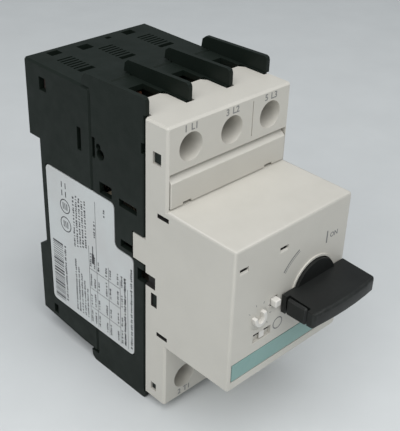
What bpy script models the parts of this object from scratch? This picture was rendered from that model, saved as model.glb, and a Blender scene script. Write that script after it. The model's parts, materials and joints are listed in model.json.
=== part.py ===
"""Three-pole motor protection breaker for a 35 mm rail, built as an assembly of its separate pieces.

+X is to the right, -Y is the front with the knob, +Z is up. The origin is the middle of the bounding
box's bottom face. Lengths below are in millimetres, and MM turns them into metres. Y is drawn from a
datum plane that lies MIDDLE_Y in front of the origin, so every shape is moved forward by MIDDLE_Y.
"""

import math

import bmesh
import bpy
from mathutils import Matrix, Vector

MM = 0.001
GAP = 0.3
WALL = 1.6

# Outside of the whole breaker
HALF_WIDTH = 22.5
HEIGHT = 97.0
REAR_Y = 50.0
GRIP_FRONT_Y = -47.0
MIDDLE_Y = (REAR_Y + GRIP_FRONT_Y) / 2

# Housings: the base at the rear, the body in the middle, the front cover with its operating block
BASE_FRONT_Y = 20.4
BODY_REAR_Y = BASE_FRONT_Y - GAP
BODY_FRONT_Y = -1.3
COVER_REAR_Y = BODY_FRONT_Y - GAP
TERMINAL_FACE_Y = -10.3
FRONT_FACE_Y = -34.6
BODY_TOP = 92.3
BODY_BOTTOM = 2.6
COVER_TOP = 92.1
COVER_BOTTOM = 2.6
COVER_WALL = 1.5
BLOCK_TOP = 68.6
BLOCK_BOTTOM = 24.2
BASE_LOWER_REAR_Y = 48.1
BASE_BOTTOM_FRONT = 3.8
BASE_BOTTOM_REAR = 6.2

# Recess for a 35 mm rail
RAIL_PLANE_Y = 44.5
RAIL_TOP = 68.8
RAIL_BOTTOM = 32.6
RAIL_LIP_Z = 67.3
RAIL_LIP_Y = 46.2

# Phase-barrier ribs over and under the wire entries
RIB_REAR_Y = 23.4
RIB_FRONT_Y = -2.1
RIB_THICK = 1.3
RIB_CENTRES = (-HALF_WIDTH + RIB_THICK / 2, -7.4, 7.4, HALF_WIDTH - RIB_THICK / 2)
RIB_DROP = 0.8

# Poles, terminals and wire entries
POLES = (-14.6, 0.0, 14.6)
LINE_Z = 84.8
LOAD_Z = 10.0
WELL_RADIUS = 4.0
TUBE_RADIUS = 4.8
TUBE_REAR_Y = 3.2
TONGUE_REAR_Y = 6.6
ENTRY_FRONT_Y = 6.9
ENTRY_REAR_Y = 14.0
ENTRY_HALF_X = 5.2
SHANK_RADIUS = 1.7
SCREW_HOLE_RADIUS = 2.0
CLAMP_Y = (6.2, 7.5)
RAIL_Y = (14.4, 15.6)
RAIL_HALF_X = 5.2

# Knob, its cam and the contact carrier that the cam pushes
KNOB_X = 9.1
KNOB_Z = 44.9
KNOB_RADIUS = 8.1
KNOB_HOLE = 8.4
KNOB_DISC_Y = -35.8
GRIP_ENDS = (-3.9, 21.5)
SLIDE_Y = (-43.4, -36.8)
CAM_FACE_Y = -8.0
CAM_LIFT = 4.2
CAM_OUTER = 8.0
FOLLOWER_HALF_DEG = 17.0
FOLLOWER_REACH = 5.8
CARRIER_Y = 14.0
CONTACT_Z = 57.0
CONTACT_SPAN = 6.0
FIXED_CONTACT_Y = 36.6
BRIDGE_Y = (30.0, 31.2)
BRIDGE_TIP = 0.9

# Trip parts
TRIP_AXIS = (8.0, 44.5)
COIL_Z = 36.0
COIL_Y = (22.0, 36.0)
PLUNGER_TIP_Y = 11.5
LATCH_PIVOT = (3.0, 58.0)

# Rail latch, below the rail recess
LATCH_HALF_WIDTH = 6.1
LATCH_TONGUE = 4.5
LATCH_BACK_Y = 42.4
LATCH_SEAT_Z = 10.7

# Windows (y, z) in the cover's sides that the body's hooks snap into
SNAP_WINDOWS = (
    ((-8.0, -4.9), (80.6, 84.1)),
    ((-6.8, -4.4), (36.2, 40.6)),
    ((-6.7, -4.5), (5.8, 8.5)),
)

# Controls on the face
DIAL_X = -12.3
DIAL_Z = 43.9
DIAL_RADIUS = 3.1
TEST_WINDOW = ((-13.9, -7.0), (36.3, 39.2))
TEST_SLOT_Z = 38.3
PIN_X = -6.8
PIN_Z = 46.9

COLOURS = {
    "black_plastic": ((0.022, 0.026, 0.025), 0.55, 0.0),
    "grey_plastic": ((0.58, 0.56, 0.51), 0.5, 0.0),
    "knob_plastic": ((0.018, 0.021, 0.020), 0.45, 0.0),
    "white_plastic": ((0.80, 0.79, 0.74), 0.45, 0.0),
    "mechanism_plastic": ((0.42, 0.36, 0.26), 0.55, 0.0),
    "teal_strip": ((0.21, 0.37, 0.34), 0.5, 0.0),
    "paper_label": ((0.66, 0.68, 0.69), 0.6, 0.0),
    "steel": ((0.56, 0.57, 0.58), 0.35, 1.0),
    "spring_steel": ((0.45, 0.45, 0.46), 0.3, 1.0),
    "copper": ((0.62, 0.30, 0.17), 0.4, 1.0),
    "bimetal": ((0.50, 0.44, 0.36), 0.4, 1.0),
    "arc_fibre": ((0.50, 0.16, 0.10), 0.8, 0.0),
}


def clear_scene():
    for item in list(bpy.data.objects):
        bpy.data.objects.remove(item, do_unlink=True)


def new_collection(name):
    collection = bpy.data.collections.new(name)
    bpy.context.scene.collection.children.link(collection)
    return collection


def make_materials():
    """One Principled material for each colour in the table."""
    made = {}
    for name, (colour, roughness, metallic) in COLOURS.items():
        material = bpy.data.materials.new(name)
        material.use_nodes = True
        shader = material.node_tree.nodes["Principled BSDF"]
        shader.inputs["Base Color"].default_value = (*colour, 1.0)
        shader.inputs["Roughness"].default_value = roughness
        shader.inputs["Metallic"].default_value = metallic
        made[name] = material
    return made


clear_scene()
PARTS = new_collection("motor_protection_breaker")
CUTTERS = new_collection("cutters")
MATERIALS = make_materials()


# Shapes, in millimetres, as bmeshes


def block(x, y, z, bevel=0.0, segments=1):
    """A box between two limits on each axis, with its edges taken off by bevel."""
    low = Vector((x[0], y[0], z[0]))
    high = Vector((x[1], y[1], z[1]))
    shape = bmesh.new()
    place = Matrix.Translation((low + high) / 2) @ Matrix.Diagonal((*(high - low), 1.0))
    bmesh.ops.create_cube(shape, size=1.0, matrix=place)
    if bevel:
        edges = shape.edges[:]
        bmesh.ops.bevel(shape, geom=edges, offset=bevel, segments=segments, profile=0.5, affect="EDGES")
    return shape


def along(axis):
    """Rotation that turns +Z onto the named axis."""
    turns = {
        "X": Matrix.Rotation(math.radians(90), 4, "Y"),
        "Y": Matrix.Rotation(math.radians(-90), 4, "X"),
        "Z": Matrix.Identity(4),
    }
    return turns[axis]


def rod(axis, span, centre, radius, sides=24, far_radius=None):
    """A cylinder or cone along an axis; centre gives the two other coordinates in X, Y, Z order."""
    middle = (span[0] + span[1]) / 2
    spots = {
        "X": (middle, centre[0], centre[1]),
        "Y": (centre[0], middle, centre[1]),
        "Z": (centre[0], centre[1], middle),
    }
    shape = bmesh.new()
    bmesh.ops.create_cone(
        shape,
        cap_ends=True,
        segments=sides,
        radius1=radius,
        radius2=radius if far_radius is None else far_radius,
        depth=span[1] - span[0],
        matrix=Matrix.Translation(spots[axis]) @ along(axis),
    )
    return shape


def slab(outline, thickness, place):
    """A flat outline, drawn as a filled 2D curve and thickened both ways from its plane."""
    curve = bpy.data.curves.new("outline", "CURVE")
    curve.dimensions = "2D"
    curve.fill_mode = "BOTH"
    curve.extrude = thickness / 2
    spline = curve.splines.new("POLY")
    spline.points.add(len(outline) - 1)
    for point, (u, v) in zip(spline.points, outline):
        point.co = (u, v, 0.0, 1.0)
    spline.use_cyclic_u = True
    return curve_shape(curve, place)


def wire(points, radius):
    """A round wire along a list of points."""
    curve = bpy.data.curves.new("wire", "CURVE")
    curve.dimensions = "3D"
    curve.bevel_depth = radius
    curve.bevel_resolution = 1 if radius > 0.3 else 0
    curve.use_fill_caps = True
    spline = curve.splines.new("POLY")
    spline.points.add(len(points) - 1)
    for point, place in zip(spline.points, points):
        point.co = (*place, 1.0)
    return curve_shape(curve, Matrix.Identity(4))


def curve_shape(curve, place):
    """Turns a curve into a welded closed bmesh, and takes the curve away."""
    guide = bpy.data.objects.new("guide", curve)
    CUTTERS.objects.link(guide)
    graph = bpy.context.evaluated_depsgraph_get()
    mesh = bpy.data.meshes.new_from_object(guide.evaluated_get(graph))
    shape = bmesh.new()
    shape.from_mesh(mesh)
    bmesh.ops.remove_doubles(shape, verts=shape.verts[:], dist=0.0001)
    bmesh.ops.recalc_face_normals(shape, faces=shape.faces[:])
    bmesh.ops.transform(shape, matrix=place, verts=shape.verts[:])
    bpy.data.objects.remove(guide, do_unlink=True)
    bpy.data.meshes.remove(mesh)
    return shape


def side_plane(x):
    """Puts an outline of (y, z) points on the plane at x."""
    return Matrix(((0, 0, 1, x), (1, 0, 0, 0), (0, 1, 0, 0), (0, 0, 0, 1)))


def rounded(corners, radius, steps=3):
    """The corners of an outline, each replaced by an arc of the given radius."""
    points = []
    count = len(corners)
    for index, corner in enumerate(corners):
        here = Vector(corner)
        back = (Vector(corners[index - 1]) - here).normalized()
        ahead = (Vector(corners[(index + 1) % count]) - here).normalized()
        half = back.angle(ahead) / 2
        reach = radius / math.tan(half)
        centre = here + (back + ahead).normalized() * (radius / math.sin(half))
        start = here + back * reach - centre
        sweep = start.angle_signed(here + ahead * reach - centre)
        for step in range(steps + 1):
            turned_by = -sweep * step / steps
            points.append(centre + Matrix.Rotation(turned_by, 2) @ start)
    return points


def helix(axis_point, radius, span, turns, per_turn=8):
    """Points of a coil along Z, centred on axis_point."""
    count = int(turns * per_turn)
    points = []
    for step in range(count + 1):
        angle = 2 * math.pi * step / per_turn
        x = axis_point[0] + radius * math.cos(angle)
        y = axis_point[1] + radius * math.sin(angle)
        points.append((x, y, span[0] + (span[1] - span[0]) * step / count))
    return points


# Objects


def to_mesh(shape, name, origin):
    """Writes a bmesh in millimetres to a mesh in metres about an origin."""
    bmesh.ops.translate(shape, verts=shape.verts[:], vec=-Vector(origin))
    bmesh.ops.scale(shape, verts=shape.verts[:], vec=(MM, MM, MM))
    mesh = bpy.data.meshes.new(name)
    shape.to_mesh(mesh)
    shape.free()
    return mesh


def spot(point):
    """A point of the drawing as a location in metres about the part's origin."""
    return (Vector(point) - Vector((0.0, MIDDLE_Y, 0.0))) * MM


def piece(name, material, shape, origin=(0.0, 0.0, 0.0)):
    """One sub-part, with its own copy of its material; origin is in millimetres."""
    item = bpy.data.objects.new(name, to_mesh(shape, name, origin))
    item.location = spot(origin)
    own = MATERIALS[material].copy()
    own.name = name + "_" + material
    item.data.materials.append(own)
    PARTS.objects.link(item)
    return item


def boolean(target, shape, operation):
    """Adds a Boolean with a tool shape in world millimetres."""
    tool = bpy.data.objects.new("tool", to_mesh(shape, "tool", (0.0, 0.0, 0.0)))
    tool.location = spot((0.0, 0.0, 0.0))
    tool.hide_render = True
    tool.display_type = "WIRE"
    CUTTERS.objects.link(tool)
    modifier = target.modifiers.new("shape", "BOOLEAN")
    modifier.operation = operation
    modifier.object = tool


def cut(target, *shapes):
    for shape in shapes:
        boolean(target, shape, "DIFFERENCE")


def join(target, *shapes):
    for shape in shapes:
        boolean(target, shape, "UNION")


def smooth(item, angle=35.0):
    """Shades round faces smooth and keeps the sharp edges."""
    item.data.shade_smooth()
    item.data.set_sharp_from_angle(angle=math.radians(angle))


# Housings


def both_sides(y, z, depth=3.0):
    """A pair of cutters through the left and right walls."""
    reach = HALF_WIDTH + 1.0
    return [
        block((-reach, -reach + depth), y, z),
        block((reach - depth, reach), y, z),
    ]


def label_outline(margin):
    """Outline (y, z) of the rating label, grown by margin."""
    rear, upper_front, lower_front = 42.4, 11.0, 3.0
    top, step, bottom = 61.6, 47.7, 13.2
    corners = [
        (rear + margin, bottom - margin),
        (rear + margin, top + margin),
        (upper_front - margin, top + margin),
        (upper_front - margin, step + margin),
        (lower_front - margin, step + margin),
        (lower_front - margin, bottom - margin),
    ]
    return rounded(corners, 1.6)


def label_pocket():
    return slab(label_outline(GAP), 1.2, side_plane(-HALF_WIDTH))


def make_base_housing():
    """Rear shell: open to the front, with the rail recess across its back."""
    base = piece(
        "base_housing",
        "black_plastic",
        block((-HALF_WIDTH, HALF_WIDTH), (BASE_FRONT_Y, REAR_Y), (BASE_BOTTOM_FRONT, BODY_TOP), 0.6),
    )
    reach = HALF_WIDTH + 1.0
    across = (-reach, reach)
    inner = (-HALF_WIDTH + WALL, HALF_WIDTH - WALL)
    low = BASE_BOTTOM_REAR + WALL
    high = BODY_TOP - WALL
    rail_lead_in = [
        (RAIL_PLANE_Y, RAIL_BOTTOM + 0.1),
        (REAR_Y + 1, RAIL_BOTTOM - 3.1),
        (REAR_Y + 1, RAIL_BOTTOM + 1),
    ]
    bottom_slope = [
        (BASE_FRONT_Y - 1, 0),
        (REAR_Y, 0),
        (REAR_Y, BASE_BOTTOM_REAR + 0.2),
        (BASE_FRONT_Y - 1, BASE_BOTTOM_FRONT - 0.1),
    ]
    cut(
        base,
        block(across, (BASE_LOWER_REAR_Y, REAR_Y + 1), (0, RAIL_BOTTOM + 1)),
        block(across, (RAIL_PLANE_Y, REAR_Y + 1), (RAIL_BOTTOM, RAIL_TOP)),
        slab(rail_lead_in, 2 * reach, side_plane(0.0)),
        slab(bottom_slope, 2 * reach, side_plane(0.0)),
        block(inner, (BASE_FRONT_Y - 1, RAIL_PLANE_Y - WALL), (low, high)),
        block(inner, (RAIL_PLANE_Y - WALL - 1, REAR_Y - WALL), (RAIL_TOP + WALL, high)),
    )
    lip = (RAIL_LIP_Z, RAIL_TOP + 0.7)
    join(base, block((-HALF_WIDTH + 1.9, HALF_WIDTH - 1.9), (RAIL_LIP_Y, REAR_Y - 0.2), lip))
    for x in (-7.3, 7.3):
        join(base, block((x - 0.6, x + 0.6), (26.5, RAIL_PLANE_Y - 1), (low - 1, high + 0.5)))
    cut_latch_channel(base, low)
    cut(base, *vent_cutters())
    cut(base, *both_sides((39.8, 43.0), (84.6, 88.6)))
    cut(base, *both_sides((24.6, 26.3), (72.4, 79.4)))
    cut(base, block((-HALF_WIDTH - 1, -HALF_WIDTH + 3), (40.6, 42.6), (7.0, 10.4)))
    cut(base, block((-3.4, 1.6), (REAR_Y - 3, REAR_Y + 1), (86.4, 89.6)))
    cut(base, label_pocket())
    return base


def cut_latch_channel(base, low):
    """T-shaped guide for the rail latch, closed off from the inside, with a seat for its spring."""
    wide, narrow = LATCH_HALF_WIDTH + GAP, LATCH_TONGUE + GAP
    cut(base, block((-wide, wide), (LATCH_BACK_Y, 46.8), (0, RAIL_BOTTOM + 1)))
    cut(base, block((-narrow, narrow), (46.5, REAR_Y), (0, RAIL_BOTTOM + 1)))
    inner_wall = (LATCH_BACK_Y - 1.8, LATCH_BACK_Y)
    join(base, block((-wide - 1.6, wide + 1.6), inner_wall, (low - 1, RAIL_BOTTOM - 0.2)))
    join(base, block((-2.5, 2.5), (LATCH_BACK_Y - 1, 44.3), (LATCH_SEAT_Z - 2.4, LATCH_SEAT_Z)))


def vent_cutters():
    """Arc vents over each pole, and the small openings along the rear edge of the top."""
    top = (BODY_TOP - 3.0, BODY_TOP + 1.0)
    shapes = []
    for pole in POLES:
        for slit in range(6):
            y = 33.3 + 1.5 * slit
            shapes.append(block((pole - 2.6, pole + 2.6), (y, y + 0.75), top))
        shapes.append(block((pole - 2.6, pole + 2.6), (30.6, 32.4), top))
    for x in (-14.3, 13.0):
        shapes.append(block((x - 1.9, x + 1.9), (45.0, 48.0), top))
    shapes.append(block((-6.6, -2.6), (43.2, 46.6), top))
    shapes.append(block((4.4, 6.2), (46.0, 47.4), top))
    return shapes


def rib_outline(top):
    """Side outline (y, z) of a phase barrier, above the body or mirrored below it."""
    if top:
        tip, over_base, over_body = HEIGHT, BODY_TOP + GAP, BODY_TOP - 1.0
        front_foot, corner, rear_tip = COVER_TOP + GAP, 1.1, HEIGHT - RIB_DROP
    else:
        tip, over_base, over_body = 0.0, BASE_BOTTOM_FRONT - 0.5, BODY_BOTTOM + 1.0
        front_foot, corner, rear_tip = COVER_BOTTOM - GAP, -1.1, 0.0
    return [
        (RIB_REAR_Y, over_base),
        (RIB_REAR_Y - 0.4, rear_tip - corner),
        (RIB_REAR_Y - 1.8, rear_tip),
        (RIB_FRONT_Y + 1.1, tip),
        (RIB_FRONT_Y + 0.3, tip - 0.3 * corner),
        (RIB_FRONT_Y, tip - corner),
        (RIB_FRONT_Y, front_foot),
        (BODY_FRONT_Y, front_foot),
        (BODY_FRONT_Y, over_body),
        (BODY_REAR_Y, over_body),
        (BODY_REAR_Y, over_base),
    ]


def make_body_housing():
    """Middle shell: open front and back, with phase barriers above and below."""
    body = piece(
        "body_housing",
        "black_plastic",
        block((-HALF_WIDTH, HALF_WIDTH), (BODY_FRONT_Y, BODY_REAR_Y), (BODY_BOTTOM, BODY_TOP), 0.3),
    )
    inner = (-HALF_WIDTH + WALL, HALF_WIDTH - WALL)
    cut(body, block(inner, (BODY_FRONT_Y - 1, BODY_REAR_Y + 1), (BODY_BOTTOM + WALL, BODY_TOP - WALL)))
    for top in (True, False):
        for x in RIB_CENTRES:
            join(body, slab(rib_outline(top), RIB_THICK, side_plane(x)))
    for x in (-7.3, 7.3):
        join(
            body,
            block((x - 0.6, x + 0.6), (5.0, BODY_REAR_Y - 0.4), (70.0, BODY_TOP - 1.2)),
            block((x - 0.6, x + 0.6), (5.0, BODY_REAR_Y - 0.4), (BODY_BOTTOM + 1.2, 20.0)),
        )
    upper = (BODY_TOP - 3.0, BODY_TOP + 0.8)
    lower = (BODY_BOTTOM - 0.8, BODY_BOTTOM + 3.0)
    for pole in POLES:
        entry = (pole - ENTRY_HALF_X, pole + ENTRY_HALF_X)
        notch = (pole - 6.2, pole + 6.2)
        for level in (upper, lower):
            cut(body, block(entry, (ENTRY_FRONT_Y - 1, ENTRY_REAR_Y), level))
            cut(body, block(notch, (BODY_FRONT_Y - 1, ENTRY_FRONT_Y), level))
    cut_body_sides(body)
    add_snap_hooks(body)
    return body


def cut_body_sides(body):
    """Accessory slots and label pocket in the body's side walls."""
    cut(body, label_pocket())
    cut(body, rod("X", (-21.5, 21.5), TRIP_AXIS, 1.0, sides=12))
    cut(body, *both_sides((11.8, 17.0), (62.6, 66.2)))
    cut(body, *both_sides((1.4, 8.7), (62.2, 64.5)))
    cut(body, *both_sides((3.4, 8.3), (49.4, 51.8)))
    cut(body, *both_sides((18.5, BODY_REAR_Y + 1), (72.6, 78.8)))
    cut(body, *both_sides((BODY_FRONT_Y - 1, 1.2), (42.0, 46.0)))
    cut(body, *both_sides((BODY_FRONT_Y - 1, 3.4), (48.0, 56.8), depth=2.3))
    cut(body, *both_sides((BODY_FRONT_Y - 1, -0.4), (81.6, 84.6)))
    for z, y, radius in ((76.6, 17.0, 1.0), (74.5, 16.2, 1.6)):
        cut(body, rod("X", (-HALF_WIDTH - 1, HALF_WIDTH + 1), (y, z), radius, sides=16))


def add_snap_hooks(body):
    """Tongues that reach forward inside the cover's walls and snap into its side windows."""
    for y, z in SNAP_WINDOWS:
        low, high = z[0] + 0.4, z[1] - 0.4
        for side in (-1, 1):
            tongue = sorted((side * 19.8, side * 20.7))
            root = sorted((side * 19.8, side * 21.4))
            barb = sorted((side * 20.4, side * 22.1))
            join(body, block(tongue, (y[0] - 0.6, 2.4), (low, high)))
            join(body, block(root, (BODY_FRONT_Y + 1.0, 2.5), (low, high)))
            join(body, block(barb, (y[0] + 0.4, y[1] - 0.4), (low, high)))


def make_front_cover():
    """Grey moulding: terminal plate, screw wells and the operating block with its face."""
    cover = piece(
        "front_cover",
        "grey_plastic",
        block((-HALF_WIDTH, HALF_WIDTH), (TERMINAL_FACE_Y, COVER_REAR_Y), (COVER_BOTTOM, COVER_TOP), 0.6),
    )
    face = (FRONT_FACE_Y, TERMINAL_FACE_Y + 6.0)
    join(cover, block((-HALF_WIDTH, HALF_WIDTH), face, (BLOCK_BOTTOM, BLOCK_TOP), 0.9, segments=2))
    inner = (-HALF_WIDTH + COVER_WALL, HALF_WIDTH - COVER_WALL)
    open_back = COVER_REAR_Y + 1
    plate = (TERMINAL_FACE_Y + COVER_WALL, open_back)
    inner_height = (BLOCK_BOTTOM + COVER_WALL, BLOCK_TOP - COVER_WALL)
    cut(
        cover,
        block(inner, (FRONT_FACE_Y + COVER_WALL, open_back), inner_height),
        block(inner, plate, (80.5, COVER_TOP - COVER_WALL)),
        block(inner, plate, (COVER_BOTTOM + COVER_WALL, BLOCK_BOTTOM - COVER_WALL)),
        block(inner, (-6.2, open_back), (BLOCK_TOP, 79.0)),
        block((-21.7, 21.7), (TERMINAL_FACE_Y - 1, -7.6), (BLOCK_TOP + 0.2, 79.0)),
    )
    add_terminal_wells(cover)
    add_side_details(cover)
    cut_face_openings(cover)
    return cover


def add_terminal_wells(cover):
    """Tubes for the screwdriver, and tongues that close the top between the barriers."""
    tube = (TERMINAL_FACE_Y + 0.7, TUBE_REAR_Y)
    for level in (LINE_Z, LOAD_Z):
        for pole in POLES:
            join(cover, rod("Y", tube, (pole, level), TUBE_RADIUS, sides=16))
            cut(cover, rod("Y", (TERMINAL_FACE_Y - 1, TUBE_REAR_Y + 1), (pole, level), WELL_RADIUS))
    for pole in POLES:
        for low, high in ((COVER_TOP - 2.0, COVER_TOP), (COVER_BOTTOM, COVER_BOTTOM + 2.0)):
            outline = [
                (pole - 5.8, COVER_REAR_Y - 0.7),
                (pole + 5.8, COVER_REAR_Y - 0.7),
                (pole + 5.8, TONGUE_REAR_Y - 1.6),
                (pole + 4.6, TONGUE_REAR_Y),
                (pole - 4.6, TONGUE_REAR_Y),
                (pole - 5.8, TONGUE_REAR_Y - 1.6),
            ]
            join(cover, slab(outline, high - low, Matrix.Translation((0, 0, (low + high) / 2))))


def add_side_details(cover):
    """Snap tabs, windows and slits in the cover's side walls."""
    tab_y = (COVER_REAR_Y - 1.0, 3.0)
    for x in ((-HALF_WIDTH, -HALF_WIDTH + 0.9), (HALF_WIDTH - 0.9, HALF_WIDTH)):
        join(cover, block(x, tab_y, (48.4, 56.5)))
    cut(cover, *both_sides((-6.1, COVER_REAR_Y + 1), (42.0, 46.0)))
    for y, z in SNAP_WINDOWS:
        cut(cover, *both_sides(y, z))
    cut(cover, *both_sides((-11.1, -6.8), (65.6, 66.9)))
    cut(cover, *both_sides((-11.1, -6.8), (26.9, 28.2)))


def cut_face_openings(cover):
    """Openings of the front face, the collar round the knob and the strip's recess."""
    wall = (FRONT_FACE_Y - 2, FRONT_FACE_Y + 3)
    collar = (FRONT_FACE_Y - 0.4, FRONT_FACE_Y + 1)
    join(cover, rod("Y", collar, (KNOB_X, KNOB_Z), KNOB_HOLE + 0.6, sides=40))
    cut(cover, rod("Y", wall, (KNOB_X, KNOB_Z), KNOB_HOLE, sides=40))
    cut(cover, rod("Y", wall, (DIAL_X, DIAL_Z), DIAL_RADIUS + GAP))
    cut(cover, block(TEST_WINDOW[0], wall, (TEST_SLOT_Z, TEST_WINDOW[1][1])))
    cut(cover, block(TEST_WINDOW[0], (FRONT_FACE_Y - 1, FRONT_FACE_Y + 0.9), TEST_WINDOW[1]))
    cut(cover, block((PIN_X - 1.4, PIN_X + 1.4), wall, (PIN_Z - 1.4, PIN_Z + 1.4)))
    ledge = [
        (FRONT_FACE_Y - 1.0, 61.0),
        (FRONT_FACE_Y, 61.1),
        (FRONT_FACE_Y + 1.0, 62.2),
        (FRONT_FACE_Y + 1.0, 62.8),
        (FRONT_FACE_Y - 1.0, 62.8),
    ]
    for x in (-19.1, -4.4):
        cut(cover, slab(ledge, 3.2, side_plane(x)))
        cut(cover, block((x - 1.6, x + 1.6), wall, (62.2, 62.8)))
    cut(cover, block((-21.5, 21.5), (FRONT_FACE_Y - 1, FRONT_FACE_Y + 0.6), (28.0, 32.9)))


def make_auxiliary_slot_cover():
    """Snap-in strip over the slot for a transverse auxiliary switch, with two pry notches."""
    outline = [
        (-7.9, BLOCK_TOP + 0.5),
        (-10.6, BLOCK_TOP + 0.5),
        (-10.6, 76.5),
        (-8.9, 78.0),
        (-7.9, 78.0),
    ]
    strip = piece("auxiliary_slot_cover", "grey_plastic", slab(outline, 42.8, side_plane(0.0)))
    for x in (-15.6, 15.2):
        cut(strip, block((x - 1.5, x + 1.5), (-12, -7), (BLOCK_TOP, BLOCK_TOP + 1.2)))


def make_labels():
    piece("front_strip", "teal_strip", block((-21.2, 21.2), (-34.6, -34.3), (28.3, 32.6)))
    piece("rating_label", "paper_label", slab(label_outline(0.0), 0.3, side_plane(-HALF_WIDTH + 0.15)))


# Knob and drive


def make_knob():
    """Black knob: a round base in the cover's hole and a tapered, crowned grip across it."""
    axis = (KNOB_X, KNOB_DISC_Y, KNOB_Z)
    knob = piece(
        "rotary_knob",
        "knob_plastic",
        rod("Y", (KNOB_DISC_Y, -32.8), (KNOB_X, KNOB_Z), KNOB_RADIUS, sides=40),
        axis,
    )
    join(knob, grip_shape())
    end = GRIP_ENDS[0]
    cut(knob, block((end - 1, end + 1.3), (SLIDE_Y[0] - GAP, SLIDE_Y[1] + GAP), (KNOB_Z - 4, KNOB_Z + 4)))
    pocket = (SLIDE_Y[0] + 0.7, SLIDE_Y[1] - 0.7)
    cut(knob, block((end - 1, end + 9.8), pocket, (KNOB_Z - 1.5, KNOB_Z + 1.5)))
    smooth(knob)


def grip_shape():
    """Grip: a box divided along X whose front is crowned and whose top and bottom draw in to the front."""
    root, front = KNOB_DISC_Y + 0.8, GRIP_FRONT_Y
    shape = block(GRIP_ENDS, (front, root), (KNOB_Z - 1, KNOB_Z + 1))
    long_edges = [edge for edge in shape.edges if abs(edge.verts[0].co.x - edge.verts[1].co.x) > 1]
    bmesh.ops.subdivide_edges(shape, edges=long_edges, cuts=5, use_grid_fill=True)
    middle, half = KNOB_X, GRIP_ENDS[1] - KNOB_X
    for vert in shape.verts:
        at_front = vert.co.y < front + 1
        reach = min(1.0, abs(vert.co.x - middle) / half)
        if at_front:
            vert.co.y += 0.8 * reach**2
        half_height = 2.2 if at_front else 2.8
        vert.co.z = KNOB_Z + math.copysign(half_height, vert.co.z - KNOB_Z)
    return shape


def make_padlock_slide():
    """Slide at the knob's end: an outer plate and a tongue with a shackle hole."""
    end = GRIP_ENDS[0]
    middle_y = (SLIDE_Y[0] + SLIDE_Y[1]) / 2
    plate = block((end - 0.3, end + 1.0), SLIDE_Y, (KNOB_Z - 2.7, KNOB_Z + 2.6), 0.5)
    slide = piece("padlock_slide", "knob_plastic", plate, (end, middle_y, KNOB_Z))
    tongue_y = (SLIDE_Y[0] + 1.0, SLIDE_Y[1] - 1.0)
    join(slide, block((end + 0.5, end + 9.3), tongue_y, (KNOB_Z - 1.2, KNOB_Z + 1.2)))
    cut(slide, rod("Z", (KNOB_Z - 3, KNOB_Z + 3), (end + 4.2, middle_y), 1.7, sides=20))


def make_drive_cam():
    """Spindle behind the knob with a face cam: each ramp lifts over a quarter turn."""
    cam = piece("drive_cam", "mechanism_plastic", cam_shape(), (KNOB_X, -20.0, KNOB_Z))
    join(cam, rod("Y", (-32.5, -11.0), (KNOB_X, KNOB_Z), 2.5, sides=16))
    smooth(cam)


def cam_height(angle):
    """Lift of the cam at an angle in degrees; two equal ramps, half a turn apart."""
    past = (angle - FOLLOWER_HALF_DEG) % 180.0
    if past > 160.0 - FOLLOWER_HALF_DEG:
        return 0.0
    return CAM_LIFT * min(1.0, past / 90.0)


def cam_shape():
    """Ring with a flat front at Y -12 and a rear face that follows cam_height."""
    steps = 48
    shape = bmesh.new()
    rings = []
    for radius, rear in ((CAM_OUTER, False), (CAM_OUTER, True), (1.0, True), (1.0, False)):
        ring = []
        for step in range(steps):
            degrees = 360.0 * step / steps
            angle = math.radians(degrees)
            lift = cam_height(degrees + 90.0) if radius > 2 else 0.0
            x = KNOB_X + radius * math.cos(angle)
            y = CAM_FACE_Y + lift if rear else -12.0
            z = KNOB_Z + radius * math.sin(angle)
            ring.append(shape.verts.new((x, y, z)))
        rings.append(ring)
    for index, ring in enumerate(rings):
        following = rings[(index + 1) % len(rings)]
        for step in range(steps):
            after = (step + 1) % steps
            shape.faces.new((ring[step], ring[after], following[after], following[step]))
    bmesh.ops.recalc_face_normals(shape, faces=shape.faces[:])
    return shape


def make_mechanism_frame():
    """Folded steel bracket round the cam: an upright front plate and two side plates."""
    left, right = KNOB_X - 10.0, KNOB_X + 10.0
    frame = piece("mechanism_frame", "steel", block((left, right), (-24.0, 5.2), (38.0, 61.0)))
    cut(frame, block((left + 1, right - 1), (-23.0, 7.0), (37.0, 62.0)))
    upright = (BLOCK_BOTTOM + COVER_WALL + GAP, BLOCK_TOP - COVER_WALL - GAP)
    join(frame, block((KNOB_X - 8.0, KNOB_X + 8.0), (-24.0, -23.0), upright))
    cut(frame, rod("Y", (-25, -22), (KNOB_X, KNOB_Z), 2.9))
    cut(frame, rod("X", (left - 1, right + 1), LATCH_PIVOT, 1.3, sides=16))


def make_toggle_spring():
    """Torsion spring round the spindle, between the frame and the cam."""
    coil = helix((KNOB_X, -KNOB_Z), 4.0, (-22.3, -13.0), 5)
    points = [(x, z, -y) for x, y, z in coil]
    piece("toggle_spring", "spring_steel", wire(points, 0.4))


# Contacts


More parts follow.
